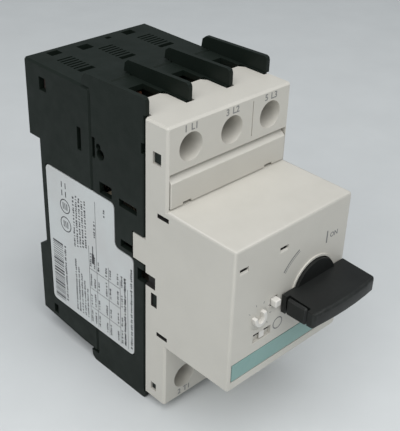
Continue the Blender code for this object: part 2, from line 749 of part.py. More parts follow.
def make_contact_carrier():
    """Moving crosshead: a follower above and below the spindle, a crossbar and a cage for each bridge."""
    carrier = piece(
        "contact_carrier",
        "mechanism_plastic",
        block((-20.0, 20.0), (CARRIER_Y, CARRIER_Y + 4.0), (53.0, 61.0)),
        (0.0, CARRIER_Y, CONTACT_Z),
    )
    low = KNOB_Z - FOLLOWER_REACH - 1.4
    join(carrier, block((KNOB_X - 2.6, KNOB_X + 2.6), (CARRIER_Y, CARRIER_Y + 3.0), (low, 54.0)))
    follower = (CAM_FACE_Y + GAP, CARRIER_Y + 1)
    for z in (KNOB_Z - FOLLOWER_REACH, KNOB_Z + FOLLOWER_REACH):
        join(carrier, block((KNOB_X - 1.0, KNOB_X + 1.0), follower, (z - 1.4, z + 1.4)))
    for pole in POLES:
        for side in (-1, 1):
            cheek = sorted((pole + side * 3.0, pole + side * 4.2))
            join(carrier, block(cheek, (CARRIER_Y + 3.5, 33.2), (54.5, 59.5)))
        join(carrier, block((pole - 3.5, pole + 3.5), (BRIDGE_Y[1] + GAP, 33.2), (55.0, 59.0)))


def make_contact_bridge(number, pole):
    """Copper bridge with a contact tip at each end, facing the fixed contacts."""
    low, high = CONTACT_Z - CONTACT_SPAN - 1.8, CONTACT_Z + CONTACT_SPAN + 1.8
    bridge = piece(
        f"contact_bridge_{number}",
        "copper",
        block((pole - 2.5, pole + 2.5), BRIDGE_Y, (low, high)),
        (pole, BRIDGE_Y[0], CONTACT_Z),
    )
    for z in (CONTACT_Z - CONTACT_SPAN, CONTACT_Z + CONTACT_SPAN):
        join(bridge, rod("Y", (BRIDGE_Y[1] - 0.5, BRIDGE_Y[1] + BRIDGE_TIP), (pole, z), 1.7, sides=12))


def make_contact_spring(number, pole):
    coil = helix((pole, -CONTACT_Z), 2.0, (CARRIER_Y + 4.8, 28.6), 4)
    points = [(x, z, -y) for x, y, z in coil]
    piece(f"contact_spring_{number}", "spring_steel", wire(points, 0.35))


def make_line_rail(number, pole):
    """Copper rail from the line terminal back and down to the upper fixed contact."""
    wide = (pole - 3.5, pole + 3.5)
    back = (37.4, 38.6)
    plate = (pole - RAIL_HALF_X, pole + RAIL_HALF_X)
    rail = piece(f"line_rail_{number}", "copper", block(plate, RAIL_Y, (76.0, LINE_Z + 5.0)))
    join(
        rail,
        block(wide, RAIL_Y, (74.0, 77.0)),
        block(wide, (RAIL_Y[0], back[1]), (74.0, 75.2)),
        block((pole - 2.4, pole + 2.4), back, (CONTACT_Z + 3.8, 74.6)),
        rod("Y", (FIXED_CONTACT_Y, back[0] + 0.5), (pole, CONTACT_Z + CONTACT_SPAN), 1.7, sides=12),
    )
    cut(rail, rod("Y", (RAIL_Y[0] - 1, RAIL_Y[1] + 1), (pole, LINE_Z), SCREW_HOLE_RADIUS, sides=12))


def make_trip_coil(number, pole):
    """Magnetic release: a wound coil whose end strip carries the lower fixed contact."""
    coil = piece(
        f"trip_coil_{number}",
        "copper",
        rod("Y", COIL_Y, (pole, COIL_Z), 4.6, sides=12),
    )
    turns = 4
    pitch = (COIL_Y[1] - COIL_Y[0]) / turns
    for turn in range(turns):
        start = COIL_Y[0] + pitch * turn
        join(coil, rod("Y", (start + 0.4, start + pitch - 0.4), (pole, COIL_Z), 5.4, sides=12))
    join(
        coil,
        block((pole - 2.4, pole + 2.4), (COIL_Y[1] - 1, 38.6), (COIL_Z + 2.8, COIL_Z + 4.0)),
        block((pole - 2.4, pole + 2.4), (37.4, 38.6), (COIL_Z + 2.8, CONTACT_Z - 3.8)),
        rod("Y", (FIXED_CONTACT_Y, 37.9), (pole, CONTACT_Z - CONTACT_SPAN), 1.7, sides=12),
    )
    cut(coil, rod("Y", (COIL_Y[0] - 1, COIL_Y[1] + 1), (pole, COIL_Z), 2.4, sides=12))


def make_plunger(number, pole):
    """Steel armature that the coil shoots forward against the trip bar."""
    plunger = piece(
        f"trip_plunger_{number}",
        "steel",
        rod("Y", (PLUNGER_TIP_Y + 7, 34.0), (pole, COIL_Z), 2.0, sides=12),
        (pole, PLUNGER_TIP_Y, COIL_Z),
    )
    join(plunger, rod("Y", (PLUNGER_TIP_Y, 20.0), (pole, COIL_Z), 1.0, sides=12))


def make_bimetal(number, pole):
    """Thermal release strip, standing on the load rail; it bends towards +X when hot."""
    piece(f"bimetal_{number}", "bimetal", block((pole - 0.4, pole + 0.4), (16.2, 19.6), (16.0, 29.6)))


def make_load_rail(number, pole):
    """Copper rail from the load terminal to the foot of the bimetal strip."""
    wide = (pole - 3.5, pole + 3.5)
    plate = (pole - RAIL_HALF_X, pole + RAIL_HALF_X)
    rail = piece(f"load_rail_{number}", "copper", block(plate, RAIL_Y, (LOAD_Z - 5.0, 15.4)))
    join(rail, block(wide, (RAIL_Y[0], 19.8), (14.4, 15.6)))
    cut(rail, rod("Y", (RAIL_Y[0] - 1, RAIL_Y[1] + 1), (pole, LOAD_Z), SCREW_HOLE_RADIUS, sides=12))


def make_arc_chute(number, pole):
    """Stack of splitter plates joined along the rear edge."""
    chute = piece(
        f"arc_chute_{number}",
        "arc_fibre",
        block((pole - 6.0, pole + 6.0), (27.0, 43.6), (77.0, 89.0)),
    )
    for gap in range(5):
        z = 78.2 + 2.1 * gap
        cut(chute, block((pole - 7, pole + 7), (26, 41.8), (z, z + 1.2)))


# Terminals


def make_terminal(side, number, pole, level):
    """Clamping plate, longer towards the wire entry, and captive screw of one terminal."""
    reach = (4.2, 4.9) if side == "line" else (4.9, 4.2)
    clamp = piece(
        f"{side}_clamp_{number}",
        "copper",
        block((pole - 4.4, pole + 4.4), CLAMP_Y, (level - reach[0], level + reach[1])),
        (pole, CLAMP_Y[0], level),
    )
    cut(clamp, rod("Y", (CLAMP_Y[0] - 1, CLAMP_Y[1] + 1), (pole, level), SCREW_HOLE_RADIUS, sides=12))
    head_front = CLAMP_Y[0] - GAP - 2.2
    profile = [
        (0.0, 0.0),
        (2.6, 0.0),
        (3.2, -0.6),
        (3.2, -2.2),
        (SHANK_RADIUS, -2.2),
        (SHANK_RADIUS, -12.6),
        (SHANK_RADIUS - 0.6, -13.2),
        (0.0, -13.2),
    ]
    screw = turned(f"{side}_screw_{number}", "steel", profile, (pole, head_front, level))
    cut(
        screw,
        block((pole - 2.2, pole + 2.2), (head_front - 1, head_front + 1.2), (level - 0.4, level + 0.4)),
        block((pole - 0.4, pole + 0.4), (head_front - 1, head_front + 1.2), (level - 2.2, level + 2.2)),
    )


def turned(name, material, profile, place):
    """A turned piece: its profile (radius, height) runs down from the end that faces the front."""
    shape = bmesh.new()
    verts = [shape.verts.new((radius, 0.0, height)) for radius, height in profile]
    for first, second in zip(verts, verts[1:]):
        shape.edges.new((first, second))
    item = piece(name, material, shape)
    item.location = spot(place)
    item.rotation_euler = (math.radians(90), 0.0, 0.0)
    spin = item.modifiers.new("turn", "SCREW")
    spin.axis = "Z"
    spin.steps = 16
    spin.render_steps = 16
    spin.use_merge_vertices = True
    spin.merge_threshold = 0.00001
    return item


# Trip and control parts


def make_trip_bar():
    """Trip shaft across the poles, with a finger in front of each plunger."""
    y, z = TRIP_AXIS
    bar = piece(
        "trip_bar",
        "mechanism_plastic",
        rod("X", (-20.2, 20.2), TRIP_AXIS, 1.4, sides=12),
        (0.0, y, z),
    )
    join(bar, rod("X", (-21.2, 21.2), TRIP_AXIS, 0.7, sides=12))
    pad = (y - 0.5, PLUNGER_TIP_Y - GAP)
    for pole in POLES:
        wide = (pole - 1.5, pole + 1.5)
        join(bar, block(wide, (y - 0.7, y + 0.7), (COIL_Z - 2.0, z)))
        join(bar, block(wide, pad, (COIL_Z - 1.6, COIL_Z + 1.6)))


def make_latch():
    """Latch lever hanging from its pin above the trip bar."""
    y, z = LATCH_PIVOT
    lever = piece("latch_lever", "steel", block((4.2, 5.8), (y - 1.6, y + 1.6), (46.5, z)), (5.0, y, z))
    join(lever, rod("X", (4.2, 5.8), LATCH_PIVOT, 2.4, sides=20))
    cut(lever, rod("X", (3, 7), LATCH_PIVOT, 1.3, sides=16))
    piece("latch_pin", "steel", rod("X", (KNOB_X - 10.6, KNOB_X + 10.6), LATCH_PIVOT, 1.0, sides=16))


def make_overload_slide():
    """Comb across the bimetal strips; a bending strip pushes its finger towards +X."""
    comb = piece("overload_slide", "mechanism_plastic", block((-20.0, 17.6), (12.4, 14.2), (25.0, 29.0)))
    for pole in POLES:
        join(comb, block((pole + 0.8, pole + 2.4), (13.2, 18.4), (25.4, 28.6)))


def make_setting_dial():
    """Current setting dial: a disc just inside the face on a stem, with a raised U as its pointer."""
    dial = piece(
        "setting_dial",
        "white_plastic",
        rod("Y", (-34.3, -32.0), (DIAL_X, DIAL_Z), DIAL_RADIUS, sides=28),
        (DIAL_X, -34.6, DIAL_Z),
    )
    join(dial, rod("Y", (-32.5, -22.0), (DIAL_X, DIAL_Z), 1.4, sides=12))
    turn = Matrix.Translation((DIAL_X, -35.0, DIAL_Z)) @ Matrix.Rotation(math.radians(-40), 4, "Y")
    for radius, rise, shaper in ((1.65, (-0.8, 0.8), join), (1.0, (-1.6, 0.6), cut)):
        bend = rod("Y", rise, (0.0, -1.2), radius, sides=20)
        arms = block((-radius, radius), rise, (-1.2, 2.1 if shaper is join else 4.0))
        for shape in (bend, arms):
            bmesh.ops.transform(shape, matrix=turn, verts=shape.verts[:])
            shaper(dial, shape)


def make_test_slide():
    """Test slide: a thumb pad in the recess, a neck through the slot and a stem to the trip parts."""
    low, high = TEST_WINDOW[1]
    foot = (low + 0.4, TEST_SLOT_Z - 0.1)
    slide = piece("test_slide", "white_plastic", block((-11.2, -7.4), (-34.5, -34.0), foot))
    join(
        slide,
        block((-11.2, -9.6), (-34.5, -34.0), (low + 0.4, high - GAP)),
        block((-11.0, -9.6), (-34.2, -31.0), (TEST_SLOT_Z + 0.1, high - GAP)),
        block((-11.6, -8.6), (-31.5, -16.0), (TEST_SLOT_Z - 0.3, high - GAP)),
    )


def make_lockout_pin():
    """Square pin beside the knob: it stands proud of the face and is pushed in against its spring."""
    piece(
        "lockout_pin",
        "white_plastic",
        block((PIN_X - 1.05, PIN_X + 1.05), (-36.4, -27.0), (PIN_Z - 1.05, PIN_Z + 1.05), 0.2),
    )


def make_rail_latch():
    """Sliding foot that hooks the rail's lower flange, and the spring between its arm and the seat."""
    wide = (-LATCH_HALF_WIDTH, LATCH_HALF_WIDTH)
    narrow = (-LATCH_TONGUE, LATCH_TONGUE)
    latch = piece("rail_latch", "black_plastic", block(wide, (44.7, 46.5), (7.2, RAIL_BOTTOM - 0.6)))
    join(
        latch,
        block(narrow, (46.0, 47.8), (7.2, RAIL_BOTTOM + 3.6)),
        block((-2.5, 2.5), (LATCH_BACK_Y + GAP, 45.5), (24.0, 26.0)),
    )
    cut(latch, block((-2.0, 2.0), (44, 49), (8.6, 10.6)))
    coil = helix((0.0, 43.5), 0.75, (LATCH_SEAT_Z + 0.5, 23.5), 6)
    piece("rail_latch_spring", "spring_steel", wire(coil, 0.22))


def main():
    make_base_housing()
    make_body_housing()
    make_front_cover()
    make_auxiliary_slot_cover()
    make_labels()
    make_knob()
    make_padlock_slide()
    make_drive_cam()
    make_mechanism_frame()
    make_toggle_spring()
    make_contact_carrier()
    for number, pole in enumerate(POLES, start=1):
        make_contact_bridge(number, pole)
        make_contact_spring(number, pole)
        make_line_rail(number, pole)
        make_trip_coil(number, pole)
        make_plunger(number, pole)
        make_bimetal(number, pole)
        make_load_rail(number, pole)
        make_arc_chute(number, pole)
        make_terminal("line", number, pole, LINE_Z)
        make_terminal("load", number, pole, LOAD_Z)
    make_trip_bar()
    make_latch()
    make_overload_slide()
    make_setting_dial()
    make_test_slide()
    make_lockout_pin()
    make_rail_latch()


main()
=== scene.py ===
"""Looks of the motor protection breaker: finer pieces, markings, materials, light and camera.

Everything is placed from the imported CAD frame. Shapes are worked in millimetres and written in metres.
"""

import json
import math
import random

import bmesh
import bpy
from mathutils import Matrix, Vector


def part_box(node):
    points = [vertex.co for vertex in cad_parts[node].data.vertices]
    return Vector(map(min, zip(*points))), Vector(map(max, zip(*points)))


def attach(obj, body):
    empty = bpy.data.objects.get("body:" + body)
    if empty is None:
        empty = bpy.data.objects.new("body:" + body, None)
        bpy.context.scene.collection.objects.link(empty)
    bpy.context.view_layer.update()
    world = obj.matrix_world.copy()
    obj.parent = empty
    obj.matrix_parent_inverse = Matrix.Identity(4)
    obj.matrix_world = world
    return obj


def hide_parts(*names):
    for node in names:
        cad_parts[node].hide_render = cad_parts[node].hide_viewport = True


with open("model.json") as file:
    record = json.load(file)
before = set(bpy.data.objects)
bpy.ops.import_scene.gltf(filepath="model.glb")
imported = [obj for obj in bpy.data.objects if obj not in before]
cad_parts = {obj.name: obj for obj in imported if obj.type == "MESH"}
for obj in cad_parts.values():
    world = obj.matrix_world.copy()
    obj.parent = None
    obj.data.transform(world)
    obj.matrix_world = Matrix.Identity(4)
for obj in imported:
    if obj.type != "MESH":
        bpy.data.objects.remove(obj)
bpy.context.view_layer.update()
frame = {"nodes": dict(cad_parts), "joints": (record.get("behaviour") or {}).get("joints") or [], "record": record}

MM = 0.001
NODES = frame["nodes"]
JOINTS = {joint["name"]: joint for joint in frame["joints"]}


def box_mm(node):
    """Lowest and highest corner of a CAD node in millimetres."""
    low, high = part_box(node)
    return low / MM, high / MM


def pivot_mm(joint):
    """A joint's place in millimetres."""
    return Vector(JOINTS[joint]["pos_m"]) / MM


COVER_LOW, COVER_HIGH = box_mm("front_cover")
SLOT_LOW = box_mm("auxiliary_slot_cover")[0]
STRIP_LOW, STRIP_HIGH = box_mm("front_strip")
LABEL_LOW, LABEL_HIGH = box_mm("rating_label")
KNOB = pivot_mm("knob_turn")
DIAL = pivot_mm("dial_turn")
POLES = [pivot_mm(f"line_screw_{n}_turn").x for n in (1, 2, 3)]
LINE_Z = pivot_mm("line_screw_1_turn").z
LOAD_Z = pivot_mm("load_screw_1_turn").z
FACE_Y = STRIP_LOW.y
# The auxiliary slot's cover stands this far before the terminal plate
SLOT_COVER_STEP = 0.3
TERMINAL_FACE_Y = SLOT_LOW.y + SLOT_COVER_STEP

# Rounded edges: their radii, then how sharp an edge must be to get one and how many radii long
COVER_EDGE = 0.32
HOUSING_EDGE = 0.25
SMALL_EDGE = 0.2
DIAL_RIM_EDGE = 0.16
CONTROL_EDGE = 0.12
THIN_EDGE = 0.1
FILM_EDGE = 0.08
DIAL_PLATE_EDGE = 0.05
SHARP_ANGLE = math.radians(32.0)
SHORTEST_EDGE = 1.6

# Details of the front cover, as spans along the axis that each name ends with
GROOVE_X = (7.55, 7.85)
GROOVE_Y = (TERMINAL_FACE_Y - 0.4, TERMINAL_FACE_Y + 0.3)
GROOVE_Z = (80.4, 90.6)
STRIP_BELOW, STRIP_ABOVE = 0.8, 0.3
STRIP_MARGIN = 0.3
LEDGE_CENTRES = (-19.1, -4.4)
LEDGE_HALF_WIDTH = 1.6
LEDGE_SLIT_Y = (FACE_Y - 0.2, FACE_Y + 2.0)
LEDGE_SLIT_Z = (61.6, 62.8)
TEST_SLIT_X = (-13.9, -7.0)
TEST_SLIT_Y = (FACE_Y + 0.5, FACE_Y + 2.0)
TEST_SLIT_Z = (37.6, 39.2)
# What lies deeper than the skin and the shaded depth, and above the foot, is painted in shade with a dark plastic
SKIN = 0.6
SHADED_DEPTH = 0.95
SHADED_FOOT = COVER_LOW.z + 23.9
# Thin walls behind the notches in the cover's sides, dark with painted shade
POCKET_X = (20.4, 20.98)
POCKET_Y = (-9.0, -3.2)
POCKET_Z = (40.5, 47.5)

# The knob's grip: the large radius and which edges get it
GRIP_RADIUS = 0.9
GRIP_SHARP_ANGLE = math.radians(28.0)
SHORTEST_GRIP_EDGE = 1.2
DISC_Y = KNOB.y - 1.5
GRIP_END_BAND = 0.3
GRIP_FRONT_BAND = 3.2
PADLOCK_SEAT_HALF = 1.8

# Dial and test slide
DIAL_PLATE_RADIUS = 3.46
DIAL_HOLE_MARGIN = 0.3
DIAL_PLATE_Y = (FACE_Y + 0.08, FACE_Y + 1.6)
DIAL_RIM_Y = FACE_Y - 0.35
DIAL_RIM_SHIFT = 0.3
DIAL_RIM_OUTER, DIAL_RIM_INNER = 2.2, 1.2
DIAL_RIM_REACH = 1.4
DIAL_RIM_THICK = 1.7
DIAL_OPENING = math.radians(14.0)
DIAL_STEM_RADIUS = 1.4
DIAL_STEM_Y = (FACE_Y + 1.2, box_mm("setting_dial")[1].y)
TEST_PAD_WIDTH = 2.2

INK_THICK = 0.02
# Marks the rounded strips, which the plastics lighten partly for wear and partly as a painted highlight
WORN_AND_HIGHLIT_EDGE = "worn_and_highlit_edge"


# Shapes, as bmeshes in millimetres


def block(x, y, z, bevel=0.0):
    """A box from its spans."""
    low = Vector((x[0], y[0], z[0]))
    high = Vector((x[1], y[1], z[1]))
    shape = bmesh.new()
    place = Matrix.Translation((low + high) / 2) @ Matrix.Diagonal((*(high - low), 1.0))
    bmesh.ops.create_cube(shape, size=1.0, matrix=place)
    if bevel:
        edges = shape.edges[:]
        bmesh.ops.bevel(shape, geom=edges, offset=bevel, segments=2, profile=0.5, affect="EDGES")
    return shape


def rod(y, centre, radius, sides):
    """A round bar along Y, from its span and its centre in X and Z."""
    shape = bmesh.new()
    middle = Matrix.Translation((centre[0], (y[0] + y[1]) / 2, centre[1]))
    bmesh.ops.create_cone(
        shape,
        cap_ends=True,
        segments=sides,
        radius1=radius,
        radius2=radius,
        depth=y[1] - y[0],
        matrix=middle @ Matrix.Rotation(math.radians(-90), 4, "X"),
    )
    return shape


def from_object(item):
    """The evaluated mesh of an object as a bmesh; the object is removed."""
    graph = bpy.context.evaluated_depsgraph_get()
    mesh = bpy.data.meshes.new_from_object(item.evaluated_get(graph))
    shape = bmesh.new()
    shape.from_mesh(mesh)
    bpy.data.objects.remove(item, do_unlink=True)
    bpy.data.meshes.remove(mesh)
    return shape


def curve_shape(curve, place):
    """A curve's filled and thickened form as a bmesh on a plane."""
    item = bpy.data.objects.new("guide", curve)
    bpy.context.scene.collection.objects.link(item)
    shape = from_object(item)
    bmesh.ops.remove_doubles(shape, verts=shape.verts[:], dist=0.0005)
    bmesh.ops.recalc_face_normals(shape, faces=shape.faces[:])
    bmesh.ops.transform(shape, matrix=place, verts=shape.verts[:])
    return shape


def slab(outline, thickness, place):
    """A flat outline thickened both ways from its plane."""
    curve = bpy.data.curves.new("outline", "CURVE")
    curve.dimensions = "2D"
    curve.fill_mode = "BOTH"
    curve.extrude = thickness / 2
    spline = curve.splines.new("POLY")
    spline.points.add(len(outline) - 1)
    for point, (u, v) in zip(spline.points, outline):
        point.co = (u, v, 0.0, 1.0)
    spline.use_cyclic_u = True
    return curve_shape(curve, place)


def lettering(text, size, place):
    """Plain letters standing on a plane, centred on its origin."""
    curve = bpy.data.curves.new("letters", "FONT")
    curve.body = text
    curve.size = size
    curve.align_x = "CENTER"
    curve.align_y = "CENTER"
    curve.resolution_u = 3
    curve.offset = 0.02 * size
    curve.extrude = INK_THICK / 2
    return curve_shape(curve, place)


def front_plane(x, y, z):
    """A plane that faces the front: u runs to +X and v to +Z."""
    return Matrix(((1, 0, 0, x), (0, 0, -1, y), (0, 1, 0, z), (0, 0, 0, 1)))


def side_plane(x, y, z):
    """A plane that faces -X, read with the part lying on its back: u runs to +Z and v to +Y."""
    return Matrix(((0, 0, -1, x), (0, 1, 0, y), (1, 0, 0, z), (0, 0, 0, 1)))


def merged(shapes):
    """Several bmeshes as one; they are freed."""
    whole = bmesh.new()
    for shape in shapes:
        mesh = bpy.data.meshes.new("part")
        shape.to_mesh(mesh)
        shape.free()
        whole.from_mesh(mesh)
        bpy.data.meshes.remove(mesh)
    return whole


def cleaned(shape):
    """Welds the shape and joins its flat faces."""
    bmesh.ops.remove_doubles(shape, verts=shape.verts[:], dist=0.001)
    angle = math.radians(0.4)
    bmesh.ops.dissolve_limit(shape, angle_limit=angle, verts=shape.verts[:], edges=shape.edges[:])
    bmesh.ops.dissolve_degenerate(shape, dist=0.002, edges=shape.edges[:])
    return shape


def node_shape(node):
    """A CAD node as a clean bmesh in millimetres."""
    shape = bmesh.new()
    shape.from_mesh(NODES[node].data)
    bmesh.ops.scale(shape, vec=(1 / MM,) * 3, verts=shape.verts[:])
    return cleaned(shape)


def mesh_object(shape, name):
    """An object with the bmesh's form; the bmesh is freed."""
    mesh = bpy.data.meshes.new(name)
    shape.to_mesh(mesh)
    shape.free()
    item = bpy.data.objects.new(name, mesh)
    bpy.context.scene.collection.objects.link(item)
    return item


def cut_away(shape, tools):
    """The shape with the tools cut from it."""
    target = mesh_object(shape, "target")
    cutters = [mesh_object(tool, "tool") for tool in tools]
    for cutter in cutters:
        modifier = target.modifiers.new("cut", "BOOLEAN")
        modifier.operation = "DIFFERENCE"
        modifier.object = cutter
    shape = from_object(target)
    for cutter in cutters:
        bpy.data.objects.remove(cutter, do_unlink=True)
    return cleaned(shape)


def rounded_edges(shape, width, segments=2, leave=None):
    """Rounds the sharp edges, apart from those too short to take it or left crisp."""
    sharp = [
        edge
        for edge in shape.edges
        if edge.is_manifold
        and edge.calc_face_angle(0.0) > SHARP_ANGLE
        and edge.calc_length() > SHORTEST_EDGE * width
        and not (leave and leave((edge.verts[0].co + edge.verts[1].co) / 2))
    ]
    # The rounded strips are marked to be lightened for wear and as a painted highlight
    worn_and_highlit = shape.faces.layers.float.new(WORN_AND_HIGHLIT_EDGE)
    strips = bmesh.ops.bevel(
        shape,
        geom=sharp,
        offset=width,
        offset_type="OFFSET",
        segments=segments,
        profile=0.5,
        affect="EDGES",
        clamp_overlap=True,
        loop_slide=True,
    )
    for face in strips["faces"]:
        face[worn_and_highlit] = 1.0
    return shape


# Materials

NOISE_ROUGHNESS = 0.55
# Features a metre
SINK_MARKS = 45.0
FLOW_MARKS = 70.0
RUB_MARKS = 520.0
PAPER_FIBRES = 1500.0
TOOL_LINES = 1800.0
SPECKS = 2600.0
MOULD_GRAIN = 3800.0


def node_material(name):
    """A new node material with its tree and its shader."""
    material = bpy.data.materials.new(name)
    material.use_nodes = True
    tree = material.node_tree
    return material, tree, tree.nodes["Principled BSDF"]


def noise(tree, scale, detail, stretch=None):
    """Noise over the piece's own coordinates, in features a metre."""
    place = tree.nodes.new("ShaderNodeTexCoord").outputs["Object"]
    if stretch:
        mapping = tree.nodes.new("ShaderNodeMapping")
        mapping.inputs["Scale"].default_value = stretch
        tree.links.new(place, mapping.inputs["Vector"])
        place = mapping.outputs["Vector"]
    texture = tree.nodes.new("ShaderNodeTexNoise")
    texture.inputs["Scale"].default_value = scale
    texture.inputs["Detail"].default_value = detail
    texture.inputs["Roughness"].default_value = NOISE_ROUGHNESS
    tree.links.new(place, texture.inputs["Vector"])
    return texture.outputs["Fac"]


def spread(tree, value, low, high, to_low, to_high):
    """Maps a value's range onto another, held at both ends."""
    node = tree.nodes.new("ShaderNodeMapRange")
    for key, number in zip(("From Min", "From Max", "To Min", "To Max"), (low, high, to_low, to_high)):
        node.inputs[key].default_value = number
    tree.links.new(value, node.inputs["Value"])
    return node.outputs["Result"]


def blended(tree, factor, first, second):
    """Mixes two colours, each a tuple or a socket."""
    node = tree.nodes.new("ShaderNodeMix")
    node.data_type = "RGBA"
    tree.links.new(factor, node.inputs["Factor"])
    for key, colour in (("A", first), ("B", second)):
        socket = next(s for s in node.inputs if s.name == key and s.type == "RGBA")
        if isinstance(colour, tuple):
            socket.default_value = (*colour, 1.0)
        else:
            tree.links.new(colour, socket)
    return next(s for s in node.outputs if s.type == "RGBA")


def bump(tree, shader, height, distance, strength, under=None):
    """Bumps a shader's surface by a height in metres, over an earlier bump if there is one."""
    node = tree.nodes.new("ShaderNodeBump")
    node.inputs["Distance"].default_value = distance
    node.inputs["Strength"].default_value = strength
    tree.links.new(height, node.inputs["Height"])
    if under is not None:
        tree.links.new(under, node.inputs["Normal"])
    tree.links.new(node.outputs["Normal"], shader.inputs["Normal"])
    return node.outputs["Normal"]


def shade(colour, factor):
    """The colour made darker or lighter."""
    return tuple(channel * factor for channel in colour)


def product(tree, first, second):
    """Two values multiplied."""
    node = tree.nodes.new("ShaderNodeMath")
    node.operation = "MULTIPLY"
    tree.links.new(first, node.inputs[0])
    tree.links.new(second, node.inputs[1])
    return node.outputs["Value"]


def dust_patches(tree):
    """Where dust lies: in patches on what faces up."""
    geometry = tree.nodes.new("ShaderNodeNewGeometry")
    direction = tree.nodes.new("ShaderNodeSeparateXYZ")
    tree.links.new(geometry.outputs["Normal"], direction.inputs["Vector"])
    upward = spread(tree, direction.outputs["Z"], 0.3, 0.95, 0.0, 0.5)
    return product(tree, upward, spread(tree, noise(tree, 160.0, 5.0), 0.35, 0.7, 0.3, 1.0))


def moulded_plastic(name, colour, rough, grain=0.5, mottle=0.06, edge=1.25, dust=None, specular=0.5):
    """Moulded plastic: eroded grain, slight flow marks, rubbed edges lightened partly for wear and partly as a
    painted highlight, and a little dust on its top.
    """
    material, tree, shader = node_material(name)
    flow = spread(tree, noise(tree, FLOW_MARKS, 3.0), 0.35, 0.65, 0.0, 1.0)
    body = blended(tree, flow, shade(colour, 1.0 - mottle), shade(colour, 1.0 + mottle))
    speck = spread(tree, noise(tree, SPECKS, 2.0), 0.55, 0.8, 0.0, 0.35)
    body = blended(tree, speck, body, shade(colour, 1.0 + 2.5 * mottle))
    # Rounded edges lighter by the edge factor: partly rubbed wear, partly a painted highlight
    on_edge = tree.nodes.new("ShaderNodeAttribute")
    on_edge.attribute_name = WORN_AND_HIGHLIT_EDGE
    uneven = spread(tree, noise(tree, RUB_MARKS, 5.0), 0.42, 0.62, 0.15, 1.0)
    body = blended(tree, product(tree, on_edge.outputs["Fac"], uneven), body, shade(colour, edge))
    if dust:
        body = blended(tree, dust_patches(tree), body, dust)
    tree.links.new(body, shader.inputs["Base Color"])
    shader.inputs["Specular IOR Level"].default_value = specular
    polish = spread(tree, noise(tree, 240.0, 4.0), 0.3, 0.7, rough - 0.06, rough + 0.06)
    tree.links.new(polish, shader.inputs["Roughness"])
    sink = bump(tree, shader, noise(tree, SINK_MARKS, 1.0), 0.00015, 0.35)
    bump(tree, shader, noise(tree, MOULD_GRAIN, 2.0), 0.00003, grain, sink)
    return material


def worn_metal(name, colour, tarnish, rough, lines=None):
    """Bare metal with drawn or turned lines and uneven tarnish."""
    material, tree, shader = node_material(name)
    shader.inputs["Metallic"].default_value = 1.0
    cloud = spread(tree, noise(tree, 420.0, 5.0), 0.35, 0.7, 0.0, 1.0)
    tree.links.new(blended(tree, cloud, colour, tarnish), shader.inputs["Base Color"])
    polish = spread(tree, noise(tree, 900.0, 4.0), 0.3, 0.7, rough - 0.08, rough + 0.12)
    tree.links.new(polish, shader.inputs["Roughness"])
    bump(tree, shader, noise(tree, TOOL_LINES, 3.0, lines), 0.00002, 0.5)
    return material


def fibre_board(name, colour):
    """Pressed fibre board with upright threads."""
    material, tree, shader = node_material(name)
    thread = spread(tree, noise(tree, 900.0, 4.0, (1.0, 1.0, 6.0)), 0.3, 0.7, 0.0, 1.0)
    body = blended(tree, thread, shade(colour, 0.8), shade(colour, 1.2))
    tree.links.new(body, shader.inputs["Base Color"])
    shader.inputs["Roughness"].default_value = 0.85
    bump(tree, shader, thread, 0.00005, 0.6)
    return material


def printed_film(name, colour, rough, fade):
    """A printed or paper film: faint fibres, a slight change of colour and a satin skin."""
    material, tree, shader = node_material(name)
    age = spread(tree, noise(tree, 55.0, 4.0), 0.35, 0.7, 0.0, 1.0)
    tree.links.new(blended(tree, age, colour, fade), shader.inputs["Base Color"])
    skin = spread(tree, noise(tree, 700.0, 3.0), 0.3, 0.7, rough - 0.05, rough + 0.07)
    tree.links.new(skin, shader.inputs["Roughness"])
    bump(tree, shader, noise(tree, PAPER_FIBRES, 3.0), 0.00001, 0.4)
    return material


# The edge factors lighten rounded edges, partly as wear and partly as a painted highlight
BLACK = moulded_plastic(
    "black_moulding", (0.0062, 0.0106, 0.0078), 0.55, edge=2.2, dust=(0.0135, 0.0185, 0.0155), specular=0.2
)
GREY = moulded_plastic(
    "grey_moulding", (0.545, 0.525, 0.475), 0.48, mottle=0.02, edge=1.12, dust=(0.60, 0.58, 0.53)
)
# Painted shade: a dark plastic for the cover's inside and the walls behind its notches
SHADED_GREY = moulded_plastic("shaded_moulding", (0.035, 0.034, 0.032), 0.7, edge=1.1, specular=0.1)
KNOB_BLACK = moulded_plastic(
    "knob_moulding", (0.0085, 0.0095, 0.0088), 0.46, edge=2.4, dust=(0.016, 0.017, 0.0165), specular=0.3
)
WHITE = moulded_plastic("white_moulding", (0.66, 0.64, 0.60), 0.42, grain=0.3, mottle=0.02, edge=1.05)
CREAM = moulded_plastic("mechanism_moulding", (0.42, 0.36, 0.26), 0.5)
TEAL = printed_film("teal_film", (0.20, 0.34, 0.32), 0.45, (0.23, 0.37, 0.34))
PAPER = printed_film("label_film", (0.539, 0.546, 0.541), 0.4, (0.58, 0.61, 0.61))
INK = printed_film("grey_ink", (0.16, 0.16, 0.16), 0.5, (0.22, 0.22, 0.215))
DARK_INK = printed_film("dark_ink", (0.035, 0.036, 0.04), 0.5, (0.06, 0.06, 0.065))
COPPER = worn_metal("copper", (0.80, 0.40, 0.24), (0.55, 0.25, 0.15), 0.5, (1.0, 1.0, 8.0))
STEEL = worn_metal("zinc_plated_steel", (0.55, 0.55, 0.54), (0.38, 0.38, 0.36), 0.33)
SPRING = worn_metal("spring_steel", (0.42, 0.42, 0.42), (0.30, 0.29, 0.28), 0.30)
BIMETAL = worn_metal("bimetal_strip", (0.46, 0.42, 0.36), (0.36, 0.31, 0.25), 0.4, (1.0, 1.0, 6.0))
FIBRE = fibre_board("arc_fibre", (0.05, 0.035, 0.03))

